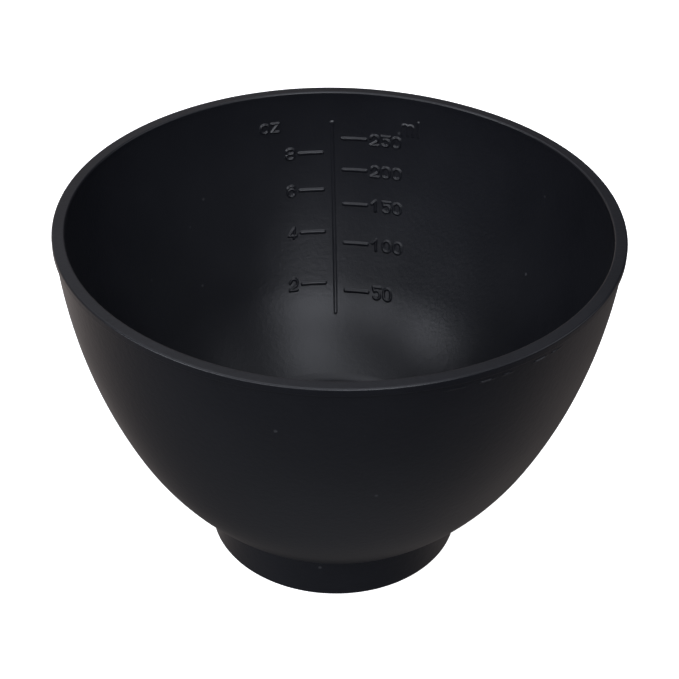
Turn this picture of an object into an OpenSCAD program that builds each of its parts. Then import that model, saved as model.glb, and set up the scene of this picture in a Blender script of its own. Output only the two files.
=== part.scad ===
// Hair color mixing bowl: a flexible rubber bowl on a low hollow foot, with a raised
// measuring scale in millilitres and ounces on the inside of its back wall.
// Millimetres. The origin is the centre of the foot's resting face, +Z is up,
// and the scale is on the +Y side, so it reads level from the -Y side.

/* [Bowl] */
// Outer diameter across the rim
rim_d = 104; // [100:1:130]
// Height from the table to the top of the rim
bowl_h = 71; // [68:1:90]
// Thickness of the side wall, along its upper curve
wall_t = 2; // [1.4:0.1:3]
// How far the side wall leans from vertical just under the rim, in degrees
rim_lean = 2.6; // [0:0.2:8]
// How far the side wall leans from vertical where it meets the foot, in degrees
foot_lean = 50; // [44:1:56]
// Share of the side wall taken by its flatter upper curve, against its lower curve
curve_balance = 1.5; // [1:0.1:2]
// Radius of the inside's lower curve, tighter than outside, so the wall thickens downwards
inside_low_r = 40; // [38:1:50]

/* [Rim band] */
// Height of the flat-topped band round the rim
band_h = 1.4; // [1:0.1:3]
// How far the band stands out beyond the side wall
band_lip = 0.3; // [0.1:0.05:1]
// Radius on the two edges of the band's flat top
band_edge_r = 0.35; // [0.1:0.05:0.6]

/* [Floor] */
// Height of the inside floor above the table
floor_z = 14.5; // [13:0.5:17]
// Thickness of the floor above the hollow of the foot
floor_t = 3; // [2:0.5:3.5]
// Radius of the rounded corner between the floor and the side wall, inside
floor_corner_r = 5; // [3:0.5:8]

/* [Foot] */
// Outer diameter of the foot ring
foot_d = 50; // [44:1:60]
// Height of the foot ring, up to where the bowl leaves it
foot_h = 8.4; // [6.4:0.2:8.8]
// Thickness of the foot ring
foot_t = 2.5; // [1.8:0.1:3.5]
// Radius on the lower edges of the foot ring
foot_edge_r = 0.5; // [0.2:0.1:0.8]

/* [Measuring scale] */
// Volume between two millilitre marks, in millilitres
ml_step = 50; // [50:50:50]
// Volume between two ounce marks, in ounces
oz_step = 2; // [2:2:2]
// Millilitres held by one ounce, imperial measure
ml_per_oz = 28.41; // [28.41:0.01:29.57]
// How far the marks stand out from the wall
mark_relief = 0.4; // [0.2:0.05:0.6]
// Width of a mark line
mark_w = 0.6; // [0.4:0.05:0.8]
// Width of the line of a number or a letter
pen_w = 0.42; // [0.3:0.02:0.5]
// Height of a number
digit_h = 2.6; // [2.3:0.1:3.4]
// Width of a number
digit_w = 1.95; // [1.6:0.05:2.2]
// Gap between two numbers side by side
digit_gap = 0.35; // [0.2:0.05:0.6]
// Length of a mark line
tick_l = 5.4; // [4:0.1:6]
// Gap between the upright line and a mark line
tick_gap = 1.6; // [1:0.05:2.5]
// Gap between a mark line and its number
number_gap = 0.65; // [0.3:0.05:1.2]
// Sideways place of the upright line's foot
line_x = -0.6; // [-2:0.1:2]
// Distance from the upright line's lower end up to the lowest millilitre mark
line_tail = 4; // [2:0.1:5]
// Distance from the top of the rim down to the upright line's upper end
line_drop = 7; // [4:0.1:8]
// How far the upright line leans to the left, in degrees
line_lean = 2.4; // [0:0.2:4]
// Diameter of the raised dot at the upright line's upper end
line_dot_d = 0.9; // [0.7:0.1:1.2]
// Distance from the top of the rim down to the middle of the letters ml
ml_drop = 7.3; // [6:0.1:9]
// Distance from the upright line to the middle of the letters ml
ml_side = 16.4; // [12:0.2:18]
// Distance from the top of the rim down to the middle of the letters oz
oz_drop = 7.4; // [4:0.1:8]
// Distance from the upright line to the middle of the letters oz
oz_side = 12.9; // [10:0.2:16]
// Height of a small letter
letter_h = 2.3; // [1.8:0.1:2.6]

/* [Hidden] */
// Fineness of circles, and of the long arcs of the wall
$fn = 96;
wall_fn = 360;
ml_marks = [for (i = [1:5]) i * ml_step];
oz_marks = [for (i = [1:4]) i * oz_step];

rubber = "#23242a";
rim_r = rim_d / 2;
foot_r = foot_d / 2;
hollow_r = foot_r - foot_t;
hollow_z = floor_z - floor_t;
band_z = bowl_h - band_h;
beyond = 2 * (rim_d + bowl_h);
mm3_per_ml = 1000;

// The outside of the side wall is two arcs that meet smoothly. The upper one leaves the
// rim at rim_lean, the lower one reaches the top of the foot at foot_lean.
wall_top = [rim_r - band_lip, bowl_h];
wall_foot = [foot_r, foot_h];
down_rim = -[sin(rim_lean), cos(rim_lean)];
down_foot = -[sin(foot_lean), cos(foot_lean)];
chord = wall_foot - wall_top;
both_down = curve_balance * down_rim + down_foot;
quad_a = pow(curve_balance + 1, 2) - both_down * both_down;
quad_b = 2 * chord * both_down;
quad_c = -chord * chord;
lower_reach = (-quad_b + sqrt(quad_b * quad_b - 4 * quad_a * quad_c)) / (2 * quad_a);
upper_reach = curve_balance * lower_reach;
upper_knee = wall_top + upper_reach * down_rim;
lower_knee = wall_foot - lower_reach * down_foot;
curve_joint = upper_knee
    + (lower_knee - upper_knee) * upper_reach / (upper_reach + lower_reach);

// Distance from a point of the wall, square to its direction there, to the centre of the
// arc that also passes through another point
function arc_r(at, across, other) =
    let (away = other - at) (away * away) / (2 * (away * across));

in_rim = [down_rim[1], -down_rim[0]];
in_foot = [down_foot[1], -down_foot[0]];
upper_r = arc_r(wall_top, in_rim, curve_joint);
lower_r = arc_r(wall_foot, in_foot, curve_joint);
upper_centre = wall_top + upper_r * in_rim;
lower_centre = wall_foot + lower_r * in_foot;
split = curve_joint - upper_centre;
split_angle = atan2(split[1], split[0]);
joint_way = (curve_joint - lower_centre) / lower_r;

// The inside's lower curve turns in at its own radius, or only as tightly as lets it come
// down to the floor over the foot ring
inside_joint = curve_joint - wall_t * joint_way;
inside_r = max(inside_low_r, arc_r(inside_joint, -joint_way, [hollow_r, floor_z]));
inside_centre = inside_joint - inside_r * joint_way;

// Centre and radius of the lower curve this far inside the bowl's outer surface: from the
// wall's inside on, it is the inside's own curve
function low_centre(inset) = inset < wall_t ? lower_centre : inside_centre;
function low_r(inset) = inset < wall_t ? lower_r - inset : inside_r + wall_t - inset;

// Half width of the bowl at a height, this far inside its outer surface
function upper_width(z, inset) =
    upper_centre[0] + sqrt(pow(upper_r - inset, 2) - pow(z - upper_centre[1], 2));
function lower_width(z, inset) =
    let (c = low_centre(inset)) c[0] + sqrt(pow(low_r(inset), 2) - pow(z - c[1], 2));
function above_split(x, z) =
    (z - upper_centre[1]) * split[0] >= (x - upper_centre[0]) * split[1];
function half_width(z, inset) =
    above_split(upper_width(z, inset), z) ? upper_width(z, inset) : lower_width(z, inset);

// The rounded corner of the floor touches the floor and the inside of the wall. Where it
// ends on the wall is where the base stops and the side wall starts.
corner_z = floor_z + floor_corner_r;
corner_x = inside_centre[0]
    + sqrt(pow(inside_r - floor_corner_r, 2) - pow(corner_z - inside_centre[1], 2));
corner = [corner_x, corner_z];
corner_way = (corner - inside_centre) / norm(corner - inside_centre);
corner_end = inside_centre + inside_r * corner_way;

// Height that a volume of liquid reaches, filled up in thin layers from the floor
layer = 0.05;
function inner_width(z) = z < corner_end[1]
    ? corner_x + sqrt(pow(floor_corner_r, 2) - pow(z - corner_z, 2))
    : half_width(z, wall_t);
function layer_volume(z) = PI * pow(inner_width(z + layer / 2), 2) * layer;
function fill_z(volume, z = floor_z) =
    volume <= 0 ? z : fill_z(volume - layer_volume(z), z + layer);
function ml_z(v) = fill_z(v * mm3_per_ml);
function oz_z(v) = fill_z(v * ml_per_oz * mm3_per_ml);

// The upright line, and its sideways place at a height
line_low_z = ml_z(ml_marks[0]) - line_tail;
line_top_z = bowl_h - line_drop;
function line_at(z) = line_x - (z - line_low_z) * tan(line_lean);

// ---------- outlines of the bowl, as half sections ----------

// Between two circles, one inside the other
module between(outer_centre, outer_r, inner_centre, inner_r) {
    difference() {
        translate(outer_centre) circle(outer_r, $fn = wall_fn);
        translate(inner_centre) circle(inner_r, $fn = wall_fn);
    }
}

// Layer of the wall between two distances inside its outer surface
module wall_layer(outer, inner) {
    intersection() {
        between(upper_centre, upper_r - outer, upper_centre, upper_r - inner);
        translate(upper_centre) rotate(split_angle) square(beyond);
    }
    intersection() {
        between(low_centre(outer), low_r(outer), low_centre(inner), low_r(inner));
        translate(upper_centre) rotate(split_angle) translate([0, -beyond]) square(beyond);
    }
}

// The strip of half section between two heights
module level(low, high) {
    translate([0, low]) square([beyond, high - low]);
}

// ---------- pieces of the bowl ----------

// Flat-topped band round the rim, standing a little proud of the wall
module rim_band() {
    inner_r = half_width(band_z, wall_t);
    color(rubber) rotate_extrude() {
        translate([inner_r, band_z])
            square([rim_r - inner_r, band_h - band_edge_r]);
        translate([inner_r + band_edge_r, band_z])
            square([rim_r - inner_r - 2 * band_edge_r, band_h]);
        for (x = [inner_r + band_edge_r, rim_r - band_edge_r])
            translate([x, bowl_h - band_edge_r]) circle(band_edge_r);
    }
}

// Curved side wall, from the floor's rounded corner up to the rim band
module side_wall() {
    color(rubber) rotate_extrude() intersection() {
        wall_layer(0, wall_t);
        level(corner_end[1], band_z);
    }
}

// Floor with its rounded corner, and the underside that stands on the foot ring
module base() {
    color(rubber) rotate_extrude() difference() {
        intersection() {
            translate(lower_centre) circle(lower_r, $fn = wall_fn);
            level(foot_h, corner_end[1]);
        }
        square([hollow_r, hollow_z]);
        translate([0, floor_z]) square([corner_x, beyond]);
        translate(corner) circle(floor_corner_r);
    }
}

// Ring that the bowl stands on, hollow inside
module foot_ring() {
    color(rubber) rotate_extrude() {
        translate([hollow_r, foot_edge_r]) square([foot_t, foot_h - foot_edge_r]);
        translate([hollow_r + foot_edge_r, 0])
            square([foot_t - 2 * foot_edge_r, foot_h]);
        for (x = [hollow_r + foot_edge_r, foot_r - foot_edge_r])
            translate([x, foot_edge_r]) circle(foot_edge_r);
    }
}

// ---------- strokes of the numbers and letters ----------

// Straight stroke between two points, with round ends
module stroke(from, to, w = pen_w) {
    run = to - from;
    translate(from) rotate(atan2(run[1], run[0])) translate([0, -w / 2])
        square([norm(run), w]);
    for (end = [from, to]) translate(end) circle(w / 2);
}

// Stroke bent round a centre, from one angle on to a larger one, with round ends
module bend(centre, r, from, to) {
    edge = 2 * r;
    turns = [for (i = [0:4]) from + (to - from) * i / 4];
    translate(centre) {
        intersection() {
            difference() {
                circle(r + pen_w / 2);
                circle(r - pen_w / 2);
            }
            polygon(concat([[0, 0]], [for (a = turns) edge * [cos(a), sin(a)]]));
        }
        for (a = [from, to]) translate(r * [cos(a), sin(a)]) circle(pen_w / 2);
    }
}

// Shape with round ends and two straight sides, this far inside a box
module round_ended(w, h, inset) {
    end_r = min(w, h) / 2;
    wide = w > h;
    for (at = [[end_r, end_r], [w - end_r, h - end_r]]) translate(at) circle(end_r - inset);
    if (w != h) translate(wide ? [end_r, inset] : [inset, end_r])
        square(wide ? [w - h, h - 2 * inset] : [w - 2 * inset, h - w]);
}

// Closed loop with round ends and two straight sides, inside a box
module loop_stroke(w, h) {
    difference() {
        round_ended(w, h, 0);
        round_ended(w, h, pen_w);
    }
}

// One number, with its lower left corner at the origin
module digit(n) {
    left = pen_w / 2;
    right = digit_w - pen_w / 2;
    low = pen_w / 2;
    high = digit_h - pen_w / 2;
    mid_x = digit_w / 2;
    bow = mid_x - pen_w / 2;
    if (n == "0") loop_stroke(digit_w, digit_h);
    if (n == "1") {
        stroke([mid_x, low], [mid_x, high]);
        stroke([mid_x, high], [left, high - bow]);
    }
    if (n == "2") {
        tail = -40;
        arch = [mid_x, high - bow];
        bend(arch, bow, tail, 180);
        stroke(arch + bow * [cos(tail), sin(tail)], [left, low]);
        stroke([left, low], [right, low]);
    }
    if (n == "4") {
        bar_y = digit_h * 0.3;
        stem_x = digit_w * 0.68;
        stroke([stem_x, low], [stem_x, high]);
        stroke([stem_x, high], [left, bar_y]);
        stroke([left, bar_y], [right, bar_y]);
    }
    if (n == "5") {
        bowl_y = low + bow;
        bend([mid_x, bowl_y], bow, -140, 130);
        stroke([mid_x, bowl_y] + bow * [cos(130), sin(130)], [left, high]);
        stroke([left, high], [right, high]);
    }
    if (n == "6") {
        bowl_y = low + bow;
        bend([mid_x, bowl_y], bow, 0, 180);
        bend([mid_x, bowl_y], bow, 180, 360);
        stroke([left, bowl_y], [left, high - bow]);
        bend([mid_x, high - bow], bow, 40, 180);
    }
    if (n == "8") {
        half_h = (digit_h + pen_w) / 2;
        loop_stroke(digit_w, half_h);
        translate([0, digit_h - half_h]) loop_stroke(digit_w, half_h);
    }
}

// A whole number written from x on, centred on a height
module number(label, x, z) {
    for (i = [0:len(label) - 1])
        translate([x + i * (digit_w + digit_gap), z - digit_h / 2]) digit(label[i]);
}

// The letters ml, centred on a point
module letters_ml(centre) {
    arch_r = letter_h / 4;
    stem_h = letter_h - arch_r;
    tall_h = letter_h * 1.4;
    tall_x = 5 * arch_r + pen_w;
    translate(centre - [tall_x / 2, letter_h / 2]) {
        for (x = [0:2]) stroke([2 * x * arch_r, 0], [2 * x * arch_r, stem_h]);
        for (x = [0:1]) bend([(2 * x + 1) * arch_r, stem_h], arch_r, 0, 180);
        stroke([tall_x, 0], [tall_x, tall_h]);
    }
}

// The letters oz, centred on a point
module letters_oz(centre) {
    letter_w = letter_h * 0.8;
    z_left = letter_w + digit_gap + pen_w / 2;
    z_right = z_left + letter_w - pen_w;
    high = letter_h - pen_w / 2;
    low = pen_w / 2;
    translate(centre - [letter_w + digit_gap / 2, letter_h / 2]) {
        loop_stroke(letter_w, letter_h);
        stroke([z_left, high], [z_right, high]);
        stroke([z_right, high], [z_left, low]);
        stroke([z_left, low], [z_right, low]);
    }
}

// ---------- raised marks on the inside of the wall ----------

// Carries a flat drawing level across the bowl onto the back wall, where it stands out
module on_back_wall() {
    color(rubber) intersection() {
        rotate([90, 0, 0]) translate([0, 0, -rim_r]) linear_extrude(rim_r - hollow_r)
            children();
        rotate_extrude() intersection() {
            wall_layer(wall_t, wall_t + mark_relief);
            level(corner_end[1], band_z);
        }
    }
}

// Upright line of the scale, with the dot at its upper end
module scale_line() {
    on_back_wall() {
        stroke([line_x, line_low_z], [line_at(line_top_z), line_top_z], mark_w);
        translate([line_at(line_top_z), line_top_z]) circle(line_dot_d / 2);
    }
}

// Mark line at a height, to the right (side 1) or left (side -1) of the upright line
module tick(side, z) {
    near = line_at(z) + side * (tick_gap + mark_w);
    on_back_wall() stroke([near, z], [near + side * (tick_l - mark_w), z], mark_w);
}

// Distance from the upright line to the near edge of the numbers
number_side = tick_gap + mark_w / 2 + tick_l + number_gap;

module tick_ml(v) tick(1, ml_z(v));
module tick_oz(v) tick(-1, oz_z(v));
module number_ml(v) {
    on_back_wall() number(str(v), line_at(ml_z(v)) + number_side, ml_z(v));
}
module number_oz(v) {
    on_back_wall() number(str(v), line_at(oz_z(v)) - number_side - digit_w, oz_z(v));
}
module unit_ml() {
    on_back_wall() letters_ml([line_at(line_top_z) + ml_side, bowl_h - ml_drop]);
}
module unit_oz() {
    on_back_wall() letters_oz([line_at(line_top_z) - oz_side, bowl_h - oz_drop]);
}

rim_band();
side_wall();
base();
foot_ring();
scale_line();
unit_ml();
unit_oz();
for (v = ml_marks) {
    tick_ml(v);
    number_ml(v);
}
for (v = oz_marks) {
    tick_oz(v);
    number_oz(v);
}
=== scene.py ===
import math

import bmesh
import bpy
import numpy as np
from mathutils import Matrix, Vector


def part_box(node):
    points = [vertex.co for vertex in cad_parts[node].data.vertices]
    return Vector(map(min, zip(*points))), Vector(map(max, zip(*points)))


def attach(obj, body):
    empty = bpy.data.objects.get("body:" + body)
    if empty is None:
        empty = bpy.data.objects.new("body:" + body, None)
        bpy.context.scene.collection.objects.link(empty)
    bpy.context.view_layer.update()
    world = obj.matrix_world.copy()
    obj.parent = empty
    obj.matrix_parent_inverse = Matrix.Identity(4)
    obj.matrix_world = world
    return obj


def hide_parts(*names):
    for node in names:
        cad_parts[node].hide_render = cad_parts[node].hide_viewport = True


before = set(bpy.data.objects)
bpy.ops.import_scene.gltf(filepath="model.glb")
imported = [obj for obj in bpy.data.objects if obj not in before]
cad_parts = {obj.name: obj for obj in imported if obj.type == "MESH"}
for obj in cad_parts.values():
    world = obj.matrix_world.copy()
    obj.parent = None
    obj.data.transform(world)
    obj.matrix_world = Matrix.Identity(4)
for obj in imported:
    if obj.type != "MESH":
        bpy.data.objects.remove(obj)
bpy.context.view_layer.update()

MM = 0.001

# ---------------------------------------------------------------- sizes, in millimetres


def box_mm(node):
    low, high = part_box(node)
    return np.array(low) / MM, np.array(high) / MM


rim_low, rim_high = box_mm("rim_band")
foot_high = box_mm("foot_ring")[1]

RIM_R = rim_high[0]
BOWL_H = rim_high[2]
BAND_Z = rim_low[2]
FOOT_R = foot_high[0]
FOOT_H = foot_high[2]
JOIN_Z = box_mm("side_wall")[0][2]      # where the floor's rounded corner ends on the wall

WALL_T = 2.0
BAND_LIP = 0.3
BAND_EDGE_R = 0.35
BAND_FOOT_R = 0.12          # rounding of the band's lower edge
RIM_LEAN = math.radians(2.6)
FOOT_LEAN = math.radians(50)
CURVE_BALANCE = 1.5
INSIDE_R = 40.0             # lower curve of the inside, tighter than outside
FLOOR_Z = 14.5
HOLLOW_Z = 11.5
CORNER_R = 5.0
FOOT_T = 2.5
FOOT_EDGE_R = 0.5
HOLLOW_EDGE_R = 1.0

AROUND = 480                # facets round the bowl
WALL_STEP = 0.8             # spacing of the rings up the wall
FLAT_STEP = 1.5             # and across the flats
FINE_STEP = 0.25            # and across the rim band
FLASH_STEP = 0.06           # and at the parting line

# ---------------------------------------------------------------- outline of the wall


def unit(v):
    return v / np.linalg.norm(v)


def tangent_arcs():
    """The two arcs of the wall's outer outline: (centre, radius) each, and where they meet."""
    top = np.array([RIM_R - BAND_LIP, BOWL_H])
    foot = np.array([FOOT_R, FOOT_H])
    down_rim = -np.array([math.sin(RIM_LEAN), math.cos(RIM_LEAN)])
    down_foot = -np.array([math.sin(FOOT_LEAN), math.cos(FOOT_LEAN)])
    chord = foot - top
    both = CURVE_BALANCE * down_rim + down_foot
    a = (CURVE_BALANCE + 1) ** 2 - both @ both
    b = 2 * chord @ both
    c = -chord @ chord
    low_reach = (-b + math.sqrt(b * b - 4 * a * c)) / (2 * a)
    top_reach = CURVE_BALANCE * low_reach
    knee_top = top + top_reach * down_rim
    knee_low = foot - low_reach * down_foot
    joint = knee_top + (knee_low - knee_top) * top_reach / (top_reach + low_reach)

    def centre(at, along):
        inward = np.array([along[1], -along[0]])
        away = joint - at
        r = away @ away / (2 * away @ inward)
        return at + inward * r, abs(r)

    upper_c, upper_r = centre(top, down_rim)
    lower_c, lower_r = centre(foot, down_foot)
    return upper_c, upper_r, lower_c, lower_r, joint


UPPER_C, UPPER_R, LOWER_C, LOWER_R, JOINT = tangent_arcs()
INSIDE_C = JOINT - (WALL_T + INSIDE_R) * unit(JOINT - LOWER_C)


def wall_radius(z, inset):
    """Distance of the wall from the axis at a height, this far inside its outer surface."""
    z = np.asarray(z, float)
    upper = UPPER_C[0] + np.sqrt((UPPER_R - inset) ** 2 - (z - UPPER_C[1]) ** 2)
    low_c, low_r = (INSIDE_C, INSIDE_R) if inset else (LOWER_C, LOWER_R)
    lower = low_c[0] + np.sqrt(low_r ** 2 - (z - low_c[1]) ** 2)
    split = JOINT - UPPER_C
    above = (z - UPPER_C[1]) * split[0] >= (upper - UPPER_C[0]) * split[1]
    return np.where(above, upper, lower)


CORNER_Z = FLOOR_Z + CORNER_R
CORNER_X = INSIDE_C[0] + math.sqrt((INSIDE_R - CORNER_R) ** 2 - (CORNER_Z - INSIDE_C[1]) ** 2)

# ---------------------------------------------------------------- small irregularities of the casting

rng = np.random.default_rng(7)
WAVE_PHASE = rng.uniform(0, 2 * math.pi, (2, 7))
FLASH_PHASE = rng.uniform(0, 2 * math.pi, 9)
FLASH_Z = 68.55             # the parting line left by the mould, just under the rim
FLASH_W = 0.13
FLASH_H = 0.22
FLASH_REACH = 0.45
FLASH_TURN = math.radians(-57)      # the part of the rim that has it, at the front right
SAG_IN = 0.32               # the most that the rim bends inwards, and the height where that starts
SAG_IN_Z = 40
SAG_DOWN = 0.22             # the most that it hangs down, and the height where that starts
SAG_DOWN_Z = 58


def smooth(x, low, high):
    t = np.clip((x - low) / (high - low), 0, 1)
    return t * t * (3 - 2 * t)


def wave(theta, row):
    """Slow unevenness round the rim, from 0 to 1."""
    total = sum(np.sin((k + 2) * theta + WAVE_PHASE[row, k]) / (k + 1.5) for k in range(7))
    return np.clip(0.5 + total / 3.2, 0, 1)


def sag(theta, z):
    """How far the rubber lies inside and below its nominal rim, as (inward, downward)."""
    inward = SAG_IN * wave(theta, 0) * smooth(z, SAG_IN_Z, BOWL_H)
    down = SAG_DOWN * wave(theta, 1) * smooth(z, SAG_DOWN_Z, BAND_Z)
    return inward, down


def flash(theta, z, outside):
    """Height of the broken parting line, which only the outside has."""
    front = smooth(np.cos(theta - FLASH_TURN), 0.970, 0.988)
    broken = sum(np.sin((17 + 9 * k) * theta + FLASH_PHASE[k]) for k in range(9)) / 4
    ridge = np.exp(-((z - FLASH_Z) / FLASH_W) ** 2)
    return outside * FLASH_H * ridge * front * smooth(broken, -0.3, 0.5)


# ---------------------------------------------------------------- lathed pieces

MERGE = 1e-5                # vertices nearer than this are one
AXIS_FADE = (10, 30)        # distances from the axis between which the unevenness sets in


def line(a, b, step):
    """Points from a to b, both ends in."""
    n = max(1, round(math.dist(a, b) / step))
    return [tuple(np.array(a) + (np.array(b) - np.array(a)) * i / n) for i in range(n + 1)]


def arc(c, r, start, end, n):
    """Points on a circle, in n equal steps from one turn to another in degrees."""
    turns = np.radians(np.linspace(start, end, n + 1))
    return [(c[0] + r * math.cos(t), c[1] + r * math.sin(t)) for t in turns]


def wall_line(heights, inset):
    return [(float(wall_radius(z, inset)), float(z)) for z in heights]


def heights(low, high, step=WALL_STEP):
    return np.linspace(low, high, max(2, round((high - low) / step) + 1))


def outside_heights():
    """Heights of the outside's rings from the rim band down, close at the parting line."""
    near = np.arange(FLASH_Z - FLASH_REACH, FLASH_Z + FLASH_REACH + 0.01, FLASH_STEP)
    return np.concatenate([
        heights(near[-1] + FLASH_STEP, BAND_Z, 0.15)[::-1],
        near[::-1],
        heights(JOIN_Z, near[0] - FLASH_STEP)[::-1],
    ])


band_in = float(wall_radius(BAND_Z, WALL_T))
band_out = float(wall_radius(BAND_Z, 0))
corner_way = unit(np.array([CORNER_X, CORNER_Z]) - INSIDE_C)
corner_turn = math.degrees(math.atan2(corner_way[1], corner_way[0]))

floor_line = line((0, FLOOR_Z), (CORNER_X, FLOOR_Z), FLAT_STEP)
corner_arc = arc((CORNER_X, CORNER_Z), CORNER_R, -90, corner_turn, 14)
corner_arc[-1] = (float(wall_radius(JOIN_Z, WALL_T)), JOIN_Z)
inside_line = wall_line(heights(JOIN_Z, BAND_Z), WALL_T)
outside_line = wall_line(outside_heights(), 0)
under_line = wall_line(heights(FOOT_H, JOIN_Z)[::-1], 0)

e = BAND_EDGE_R
b = BAND_FOOT_R
rim_line = (
    line((band_in, BAND_Z), (band_in, BOWL_H - e), FINE_STEP)
    + arc((band_in + e, BOWL_H - e), e, 180, 90, 8)[1:]
    + line((band_in + e, BOWL_H), (RIM_R - e, BOWL_H), FINE_STEP)[1:]
    + arc((RIM_R - e, BOWL_H - e), e, 90, 0, 8)[1:]
    + line((RIM_R, BOWL_H - e), (RIM_R, BAND_Z + b), FINE_STEP)[1:]
    + arc((RIM_R - b, BAND_Z + b), b, 0, -90, 4)[1:]
    + [(band_out, BAND_Z)]
)

hollow_r = FOOT_R - FOOT_T
f = FOOT_EDGE_R
foot_line = (
    line((FOOT_R, FOOT_H), (FOOT_R, f), WALL_STEP)
    + arc((FOOT_R - f, f), f, 0, -90, 8)[1:]
    + line((FOOT_R - f, 0), (hollow_r + f, 0), WALL_STEP)[1:]
    + arc((hollow_r + f, f), f, -90, -180, 8)[1:]
    + line((hollow_r, f), (hollow_r, FOOT_H), WALL_STEP)[1:]
)
h = HOLLOW_EDGE_R
ceiling_line = (
    line((hollow_r, FOOT_H), (hollow_r, HOLLOW_Z - h), WALL_STEP)
    + arc((hollow_r - h, HOLLOW_Z - h), h, 0, 90, 8)[1:]
    + line((hollow_r - h, HOLLOW_Z), (0, HOLLOW_Z), FLAT_STEP)[1:]
)


def displaced(profile, outside):
    """The profile's rings as points [ring, step round, xyz], with the casting's unevenness."""
    theta = np.arange(AROUND) * 2 * math.pi / AROUND
    rz = np.array(profile, float)
    r, z = rz[:, :1], rz[:, 1:]
    inward, down = sag(theta[None, :], z)
    radius = np.maximum(r - inward * smooth(r, *AXIS_FADE), 0) + flash(theta[None, :], z, outside)
    height = z - down
    return np.stack([radius * np.cos(theta), radius * np.sin(theta),
                     np.broadcast_to(height, radius.shape)], axis=2)


def add_mesh(name, verts, faces, normals=None):
    mesh = bpy.data.meshes.new(name)
    mesh.from_pydata((verts * MM).tolist(), [], faces)
    mesh.polygons.foreach_set("use_smooth", np.ones(len(mesh.polygons), bool))
    mesh.update()
    if normals is not None:
        mesh.normals_split_custom_set(normals)
    thing = bpy.data.objects.new(name, mesh)
    bpy.context.scene.collection.objects.link(thing)
    return thing


def surface_normals(rings, sharp):
    """Normals before and after each ring of an open surface, which differ only at the sharp rings."""
    along = np.diff(rings, axis=0)
    around = np.roll(rings, -1, axis=1) - np.roll(rings, 1, axis=1)
    # at the axis the direction round the bowl is the next ring's
    size = np.linalg.norm(around, axis=2, keepdims=True)
    for i, j in ((0, 1), (-1, -2)):
        if size[i].max() < 1e-6:
            around[i] = around[j]
    before = np.concatenate([along[:1], along])
    after = np.concatenate([along, along[-1:]])
    both = before + after
    n_both = np.cross(both, around)
    n_before = np.cross(before, around)
    n_after = np.cross(after, around)
    out_before, out_after = n_both.copy(), n_both.copy()
    for i in sharp:
        out_before[i], out_after[i] = n_before[i], n_after[i]

    def norm(v):
        return v / np.maximum(np.linalg.norm(v, axis=2, keepdims=True), 1e-12)

    return norm(out_before), norm(out_after)


def lathe(name, runs):
    """A closed piece from runs of rings, each (rings, normals before, normals after). A run starts where
    the one before it ends."""
    faces, normals, index = [], [], []
    offset = 0
    for rings, _, _ in runs:
        index.append(np.arange(len(rings) * AROUND).reshape(len(rings), AROUND) + offset)
        offset += len(rings) * AROUND
    verts = np.concatenate([rings.reshape(-1, 3) for rings, _, _ in runs])
    # vertices at one place become one
    key = np.round(verts / MERGE).astype(np.int64)
    _, first, same = np.unique(key, axis=0, return_index=True, return_inverse=True)
    same = same.reshape(-1)
    kept = verts[first]
    step = np.roll(np.arange(AROUND), -1)
    for (rings, before, after), ids in zip(runs, index):
        for i in range(len(rings) - 1):
            a, b = ids[i], ids[i + 1]
            for j in range(AROUND):
                k = step[j]
                corners = [(a[j], after[i][j]), (b[j], before[i + 1][j]),
                           (b[k], before[i + 1][k]), (a[k], after[i][k])]
                # a face at the axis has three corners
                face = {}
                for v, n in corners:
                    face.setdefault(int(same[v]), n)
                if len(face) > 2:
                    faces.append(list(face))
                    normals.extend(face.values())
    return add_mesh(name, kept, faces, np.array(normals, np.float32).tolist())


def seam(start, end, n_dir):
    """A flat ring between two rings of points, inside the rubber."""
    rings = np.stack([start, end])
    n = np.zeros_like(rings) + np.array(n_dir, float)
    return rings, n, n


# the whole skin in order: floor, corner, inside, rim, outside, underside, foot, hollow
parts = [("floor", floor_line, 0), ("corner", corner_arc, 0), ("inside", inside_line, 0),
         ("rim", rim_line, 1), ("outside", outside_line, 1), ("under", under_line, 1),
         ("foot", foot_line, 0), ("ceiling", ceiling_line, 0)]
skin, outer, spans = [], [], {}
for label, points, is_outside in parts:
    start = len(skin) - 1 if skin else 0
    new = points if not skin else points[1:]
    skin += new
    outer += [is_outside] * len(new)
    spans[label] = (start, len(skin))
skin_rings = displaced(skin, np.array(outer)[:, None])
sharp_rings = [spans["rim"][1] - 1, spans["foot"][0]]
skin_before, skin_after = surface_normals(skin_rings, sharp_rings)


def span(*labels):
    a, b = spans[labels[0]][0], spans[labels[-1]][1]
    return skin_rings[a:b], skin_before[a:b], skin_after[a:b]


def first_ring(label):
    return skin_rings[spans[label][0]]


def last_ring(label):
    return skin_rings[spans[label][1] - 1]


UP, DOWN = (0, 0, 1), (0, 0, -1)
pieces = {}
pieces["rim_band"] = lathe("rim", [
    span("rim"), seam(last_ring("rim"), first_ring("rim"), DOWN)])
pieces["side_wall"] = lathe("wall", [
    span("inside"), seam(last_ring("inside"), first_ring("outside"), UP),
    span("outside"), seam(last_ring("outside"), first_ring("inside"), DOWN)])
pieces["base"] = lathe("bottom", [
    span("floor", "corner"), seam(last_ring("corner"), first_ring("under"), UP),
    span("under"), seam(last_ring("under"), first_ring("ceiling"), DOWN),
    span("ceiling")])
pieces["foot_ring"] = lathe("foot", [
    span("foot"), seam(last_ring("foot"), first_ring("foot"), UP)])

# ---------------------------------------------------------------- raised marks

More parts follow.
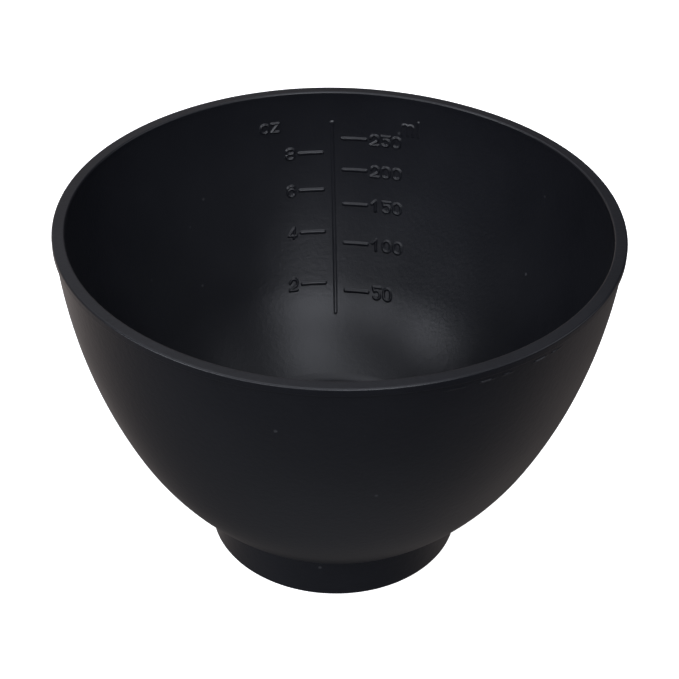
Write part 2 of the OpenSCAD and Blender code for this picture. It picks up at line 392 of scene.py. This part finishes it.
RELIEF = 0.3
FAINT = 0.16                # relief of the upright line and the letters ml, which hardly show
MARK_W = 0.6
PEN_W = 0.42
DIGIT_W, DIGIT_H, DIGIT_GAP = 1.95, 2.6, 0.35
DOT_D = 0.9
LETTER_H = 2.3
TALL = 1.4                  # height of the l, and width of the o and z, as shares of that
ROUND_W = 0.8
GRID = 0.06                 # spacing of the marks' mesh
FILLET = 0.2                # how far a mark's foot flows out into the wall
ROUNDING = 0.24             # how far its top is rounded off
ROOT = 0.25                 # depth of a mark's root in the wall
EDGE_REACH = 1.3            # where its mesh ends, in fillets
EDGE_SINK = 0.05            # how far that edge lies under the wall's surface


def distance(p, c):
    return np.linalg.norm(p - np.array(c, float), axis=-1)


def segment(p, a, b):
    """Distance to a straight stroke."""
    a, b = np.array(a, float), np.array(b, float)
    run = b - a
    t = np.clip(((p - a) @ run) / (run @ run), 0, 1)
    return np.linalg.norm(p - a - t[..., None] * run, axis=-1)


def on_circle(c, r, turn):
    return np.array([c[0] + r * math.cos(turn), c[1] + r * math.sin(turn)])


def bent(p, c, r, start, end):
    """Distance to an arc, from one turn to another in degrees."""
    q = p - np.array(c, float)
    mid, half = math.radians((start + end) / 2), math.radians((end - start) / 2)
    turn = (np.arctan2(q[..., 1], q[..., 0]) - mid + math.pi) % (2 * math.pi) - math.pi
    on_arc = np.abs(np.linalg.norm(q, axis=-1) - r)
    ends = np.minimum(*[distance(p, on_circle(c, r, mid + way * half)) for way in (-1, 1)])
    return np.where(np.abs(turn) <= half, on_arc, ends)


def loop(p, x, y, w, h):
    """Distance to the middle line of a closed round-ended loop that fits a box."""
    r = min(w, h) / 2
    spine = segment(p, (x + r, y + r), (x + w - r, y + h - r + 1e-6))
    return np.abs(spine - (r - PEN_W / 2))


def digit(p, n, x, y):
    """Distance outside the outline of a figure whose lower left corner is at x, y."""
    left, right = x + PEN_W / 2, x + DIGIT_W - PEN_W / 2
    low, high = y + PEN_W / 2, y + DIGIT_H - PEN_W / 2
    mid = x + DIGIT_W / 2
    bow = (DIGIT_W - PEN_W) / 2

    if n == "0":
        strokes = [loop(p, x, y, DIGIT_W, DIGIT_H)]
    elif n == "1":
        strokes = [segment(p, (mid, low), (mid, high)), segment(p, (mid, high), (left, high - bow))]
    elif n == "2":
        arch = (mid, high - bow)
        arch_end = on_circle(arch, bow, math.radians(-40))
        strokes = [bent(p, arch, bow, -40, 180), segment(p, arch_end, (left, low)),
                   segment(p, (left, low), (right, low))]
    elif n == "4":
        bar, stem = y + DIGIT_H * 0.3, x + DIGIT_W * 0.68
        strokes = [segment(p, (stem, low), (stem, high)), segment(p, (stem, high), (left, bar)),
                   segment(p, (left, bar), (right, bar))]
    elif n == "5":
        bowl = (mid, low + bow)
        bowl_end = on_circle(bowl, bow, math.radians(130))
        strokes = [bent(p, bowl, bow, -140, 130), segment(p, bowl_end, (left, high)),
                   segment(p, (left, high), (right, high))]
    elif n == "6":
        ring, top = (mid, low + bow), (mid, high - bow)
        strokes = [np.abs(distance(p, ring) - bow), bent(p, top, bow, 40, 180),
                   segment(p, (left, low + bow), (left, high - bow))]
    else:
        half = (DIGIT_H + PEN_W) / 2
        strokes = [loop(p, x, y, DIGIT_W, half), loop(p, x, y + DIGIT_H - half, DIGIT_W, half)]
    return np.minimum.reduce(strokes) - PEN_W / 2


def wall_point(x, z):
    """Point of the inside of the back wall at x and height z, and its normal towards the axis."""
    def at(x, z):
        theta = np.arctan2(np.sqrt(wall_radius(z, WALL_T) ** 2 - x ** 2), x)
        inward, down = sag(theta, z)
        r = wall_radius(z, WALL_T) - inward
        return np.stack([r * np.cos(theta), r * np.sin(theta), z - down], axis=-1)

    d = 0.02
    here = at(x, z)
    normal = np.cross(at(x, z + d) - at(x, z - d), at(x + d, z) - at(x - d, z))
    normal /= np.linalg.norm(normal, axis=-1, keepdims=True)
    return here, -normal * np.sign(np.sum(normal[..., :2] * here[..., :2], axis=-1, keepdims=True))


def height_of(d, relief):
    """Height of a mark over the wall, from the distance outside its outline: a round top, a soft foot."""
    rise = smooth(-d, -FILLET, ROUNDING)
    return relief * rise - EDGE_SINK * smooth(d, FILLET * 0.7, FILLET * EDGE_REACH)


def corners_of(grid):
    """The four neighbours of each inner corner of a grid."""
    return grid[:-1, :-1], grid[1:, :-1], grid[:-1, 1:], grid[1:, 1:]


def joined(cells):
    """The cells, with those that would only touch at a corner filled up round it."""
    for _ in range(6):
        a, b, c, d = corners_of(cells)
        bad = (a & d & ~b & ~c) | (b & c & ~a & ~d)
        for quarter in (a, b, c, d):
            quarter |= bad
    return cells


def raised(name, low, high, shape, relief=RELIEF):
    """A mark on the back wall. shape gives the distance outside its outline, for points [.., (x, z)]."""
    pad = FILLET * 2
    xs = np.arange(low[0] - pad, high[0] + pad + GRID, GRID)
    zs = np.arange(low[1] - pad, high[1] + pad + GRID, GRID)
    gx, gz = np.meshgrid(xs, zs, indexing="ij")
    d = shape(np.stack([gx, gz], axis=-1))
    cells = joined(np.logical_or.reduce(corners_of(d < FILLET * EDGE_REACH)))
    here, normal = wall_point(gx, gz)
    top = here + normal * height_of(d, relief)[..., None]
    root = here - normal * ROOT
    used = np.zeros(gx.shape, bool)
    for quarter in corners_of(used):
        quarter |= cells
    count = int(used.sum())
    number = -np.ones(gx.shape, int)
    number[used] = np.arange(count)
    verts = np.concatenate([top[used], root[used]])
    faces = []
    nx, nz = cells.shape
    for i, k in np.argwhere(cells):
        a, b, c, e = number[i, k], number[i + 1, k], number[i + 1, k + 1], number[i, k + 1]
        faces.append([int(a), int(b), int(c), int(e)])
        faces.append([int(e) + count, int(c) + count, int(b) + count, int(a) + count])
        # a side of the mark, where the next cell isn't one of its own
        for p, q, ni, nk in ((a, b, i, k - 1), (b, c, i + 1, k), (c, e, i, k + 1), (e, a, i - 1, k)):
            if not (0 <= ni < nx and 0 <= nk < nz) or not cells[ni, nk]:
                faces.append([int(q), int(p), int(p) + count, int(q) + count])
    return add_mesh(name, verts, faces)


def strip(node):
    low, high = box_mm(node)
    return low[[0, 2]], high[[0, 2]]


for side, values in (("ml", (50, 100, 150, 200, 250)), ("oz", (2, 4, 6, 8))):
    for value in values:
        node = f"tick_{value}_{side}"
        low, high = strip(node)
        z = (low[1] + high[1]) / 2
        r = MARK_W / 2
        pieces[node] = raised(node, low, high,
                              lambda p: segment(p, (low[0] + r, z), (high[0] - r, z)) - r)
        node = f"number_{value}_{side}"
        low, high = strip(node)
        y = (low[1] + high[1] - DIGIT_H) / 2
        label = str(value)
        pieces[node] = raised(node, low, high, lambda p: np.minimum.reduce(
            [digit(p, n, low[0] + i * (DIGIT_W + DIGIT_GAP), y) for i, n in enumerate(label)]))

low, high = strip("scale_line")
foot_end = (high[0] - MARK_W / 2, low[1] + MARK_W / 2)
dot = (low[0] + DOT_D / 2, high[1] - DOT_D / 2)
pieces["scale_line"] = raised("scale_line", low, high, lambda p: np.minimum(
    segment(p, foot_end, dot) - MARK_W / 2, distance(p, dot) - DOT_D / 2), FAINT)

# the m is three stems under two arches, the l a taller stem
low, high = strip("unit_ml")
arch_r = LETTER_H / 4
stem_h = LETTER_H - arch_r
base_x, base_y = low[0] + PEN_W / 2, low[1] + PEN_W / 2
tall_x = base_x + 5 * arch_r + PEN_W
stems = [(base_x + 2 * i * arch_r, stem_h) for i in range(3)] + [(tall_x, LETTER_H * TALL)]
arches = [base_x + (2 * i + 1) * arch_r for i in range(2)]
pieces["unit_ml"] = raised("unit_ml", low, high, lambda p: np.minimum.reduce(
    [segment(p, (x, base_y), (x, base_y + h)) for x, h in stems]
    + [bent(p, (x, base_y + stem_h), arch_r, 0, 180) for x in arches]) - PEN_W / 2, FAINT)

low, high = strip("unit_oz")
letter_w = LETTER_H * ROUND_W
zl = low[0] + letter_w + DIGIT_GAP + PEN_W / 2
zr = zl + letter_w - PEN_W
top_y, low_y = low[1] + LETTER_H - PEN_W / 2, low[1] + PEN_W / 2
pieces["unit_oz"] = raised("unit_oz", low, high, lambda p: np.minimum.reduce(
    [loop(p, low[0], low[1], letter_w, LETTER_H), segment(p, (zl, top_y), (zr, top_y)),
     segment(p, (zr, top_y), (zl, low_y)), segment(p, (zl, low_y), (zr, low_y))]) - PEN_W / 2)

# ---------------------------------------------------------------- rubber

DEEP = (0.0075, 0.0080, 0.0105, 1)      # the rubber where it is darkest, and where it is lightest
PALE = (0.0100, 0.0105, 0.0135, 1)
DUST = (0.046, 0.047, 0.051, 1)


def rubber():
    mat = bpy.data.materials.new("rubber")
    mat.use_nodes = True
    t = mat.node_tree
    t.nodes.clear()
    out = t.nodes.new("ShaderNodeOutputMaterial")
    shader = t.nodes.new("ShaderNodeBsdfPrincipled")
    place = t.nodes.new("ShaderNodeTexCoord").outputs["Object"]

    def feed(socket, value):
        """Link a socket to another one, or set it to a constant."""
        if isinstance(value, bpy.types.NodeSocket):
            t.links.new(value, socket)
        else:
            socket.default_value = value

    def node(kind, inputs, **settings):
        n = t.nodes.new(kind)
        for key, value in settings.items():
            setattr(n, key, value)
        for key, value in inputs.items():
            feed(n.inputs[key], value)
        return n.outputs

    def noise(scale, detail):
        return node("ShaderNodeTexNoise",
                    {"Vector": place, "Scale": scale, "Detail": detail, "Roughness": 0.55})["Fac"]

    def ramp(source, low, high, a, b):
        limits = {"From Min": low, "From Max": high, "To Min": a, "To Max": b}
        return node("ShaderNodeMapRange", {"Value": source, **limits})["Result"]

    def blend(factor, a, b):
        return node("ShaderNodeMix", {"Factor": factor, "A": a, "B": b}, data_type="RGBA")["Result"]

    # the rubber's own colour, and how glossy it is, vary slowly from place to place
    cloud = noise(45, 3)
    colour = blend(ramp(cloud, 0.3, 0.7, 0, 1), DEEP, PALE)
    feed(shader.inputs["Roughness"], ramp(cloud, 0.25, 0.75, 0.30, 0.37))
    shader.inputs["IOR"].default_value = 1.5

    # sparse grains of dust: the middles of a few cells of a fine pattern
    cells = node("ShaderNodeTexVoronoi", {"Vector": place, "Scale": 420})
    chance = node("ShaderNodeSeparateColor", {"Color": cells["Color"]})["Red"]
    chosen = ramp(chance, 0.975, 0.985, 0, 1)
    middle = ramp(cells["Distance"], 0.08, 0.17, 1, 0)
    speck = node("ShaderNodeMath", {0: chosen, 1: middle}, operation="MULTIPLY")["Value"]
    feed(shader.inputs["Base Color"], blend(speck, colour, DUST))

    # fine grain of the mould
    grain = node("ShaderNodeMath", {0: noise(2600, 2), 1: 0.35, 2: noise(900, 2)},
                 operation="MULTIPLY_ADD")["Value"]
    bump = node("ShaderNodeBump", {"Strength": 0.6, "Distance": 0.00006, "Height": grain})["Normal"]
    feed(shader.inputs["Normal"], bump)
    feed(out.inputs["Surface"], shader.outputs["BSDF"])
    return mat


RUBBER = rubber()
for node, piece in pieces.items():
    piece.data.materials.append(RUBBER)
    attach(piece, "root")
    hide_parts(node)

# ---------------------------------------------------------------- camera

CAM_AIM = Vector((0.38, 0, 43.34)) * MM
CAM_AWAY = 305.77 * MM
CAM_UP = math.radians(35.635)
CAM_ROLL = math.radians(1.272)
camera = bpy.data.objects.new("camera", bpy.data.cameras.new("camera"))
camera.data.sensor_width = 36
camera.data.lens = 84.49
camera.data.clip_start = 0.01
camera.data.clip_end = 50
back = Vector((0, -math.cos(CAM_UP), math.sin(CAM_UP)))
level = Vector((1, 0, 0))
upright = back.cross(level)
right = level * math.cos(CAM_ROLL) + upright * math.sin(CAM_ROLL)
up = upright * math.cos(CAM_ROLL) - level * math.sin(CAM_ROLL)
camera.matrix_world = Matrix((right, up, back)).transposed().to_4x4()
camera.matrix_world.translation = CAM_AIM + back * CAM_AWAY
bpy.context.scene.collection.objects.link(camera)
bpy.context.scene.camera = camera

# ---------------------------------------------------------------- floor and light

# a white floor and a white backdrop that only the camera sees: the rubber reflects the lights alone
FLOOR_HALF = 5000
FLOOR_DROP = 0.02
square = np.array([(-1, -1), (1, -1), (1, 1), (-1, 1)]) * FLOOR_HALF
floor = add_mesh("floor", np.array([(x, y, -FLOOR_DROP) for x, y in square]), [[0, 1, 2, 3]])
white = bpy.data.materials.new("floor_white")
white.use_nodes = True
paint = white.node_tree.nodes["Principled BSDF"]
paint.inputs["Base Color"].default_value = (0.9, 0.9, 0.9, 1)
paint.inputs["Roughness"].default_value = 0.9
paint.inputs["Emission Color"].default_value = (1, 1, 1, 1)
paint.inputs["Emission Strength"].default_value = 1.0
floor.data.materials.append(white)
BACKDROP_R = 6000 * MM
dome = bpy.data.meshes.new("backdrop")
shape = bmesh.new()
bmesh.ops.create_uvsphere(shape, u_segments=64, v_segments=32, radius=BACKDROP_R)
shape.to_mesh(dome)
shape.free()
dome.materials.append(white)
backdrop = bpy.data.objects.new("backdrop", dome)
bpy.context.scene.collection.objects.link(backdrop)
for thing in (floor, backdrop):
    thing.visible_diffuse = False
    thing.visible_glossy = False
    thing.visible_shadow = False

COOL = (0.95, 0.98, 1.07)
WARM = (1.10, 0.97, 0.93)

# soft lights all round: azimuth from the camera's side and elevation in degrees, sharpness, strength, tint
GLOWS = [
    # light boxes above the camera, which make the broken highlight inside the back wall
    (-72, 28, 60, 4.2, COOL),
    (-56, 28, 60, 6.4, COOL),
    (-24, 28, 60, 4.3, COOL),
    (8, 28, 60, 5.3, COOL),
    (24, 28, 60, 5.0, COOL),
    (24, 56, 60, 3.1, COOL),
    # light from the right, from behind and from the ceiling
    (90, 28, 22, 1.4, COOL),
    (-158, 62, 18, 1.7, COOL),
    (0, 80, 12, 1.2, COOL),
    # a warm glow behind the bowl at the left, and what the table sends back up
    (-158, -12, 9, 0.9, WARM),
    (-112, -12, 9, 0.42, WARM),
    (120, -40, 7, 0.17, WARM),
    (-60, -40, 7, 0.09, COOL),
    (0, -75, 5, 0.14, COOL),
]


def studio():
    world = bpy.data.worlds.new("studio")
    world.use_nodes = True
    t = world.node_tree
    t.nodes.clear()
    out = t.nodes.new("ShaderNodeOutputWorld")
    sky = t.nodes.new("ShaderNodeBackground")
    t.links.new(sky.outputs["Background"], out.inputs["Surface"])
    way = t.nodes.new("ShaderNodeTexCoord").outputs["Generated"]
    total = None
    for azimuth, elevation, sharpness, strength, colour in GLOWS:
        a, h = math.radians(azimuth), math.radians(elevation)
        near = t.nodes.new("ShaderNodeVectorMath")
        near.operation = "DOT_PRODUCT"
        near.inputs[1].default_value = (
            math.sin(a) * math.cos(h), -math.cos(a) * math.cos(h), math.sin(h))
        t.links.new(way, near.inputs[0])
        # full strength in the light's own direction, and fading smoothly away from it
        power = t.nodes.new("ShaderNodeMath")
        power.operation = "MULTIPLY_ADD"
        power.inputs[1].default_value, power.inputs[2].default_value = sharpness, -sharpness
        t.links.new(near.outputs["Value"], power.inputs[0])
        fade = t.nodes.new("ShaderNodeMath")
        fade.operation = "EXPONENT"
        t.links.new(power.outputs[0], fade.inputs[0])
        tint = t.nodes.new("ShaderNodeVectorMath")
        tint.operation = "MULTIPLY_ADD"
        tint.inputs[0].default_value = [strength * c for c in colour]
        t.links.new(fade.outputs[0], tint.inputs[1])
        if total is not None:
            t.links.new(total, tint.inputs[2])
        total = tint.outputs[0]
    t.links.new(total, sky.inputs["Color"])
    bpy.context.scene.world = world


studio()
bpy.context.scene.view_settings.view_transform = "Standard"
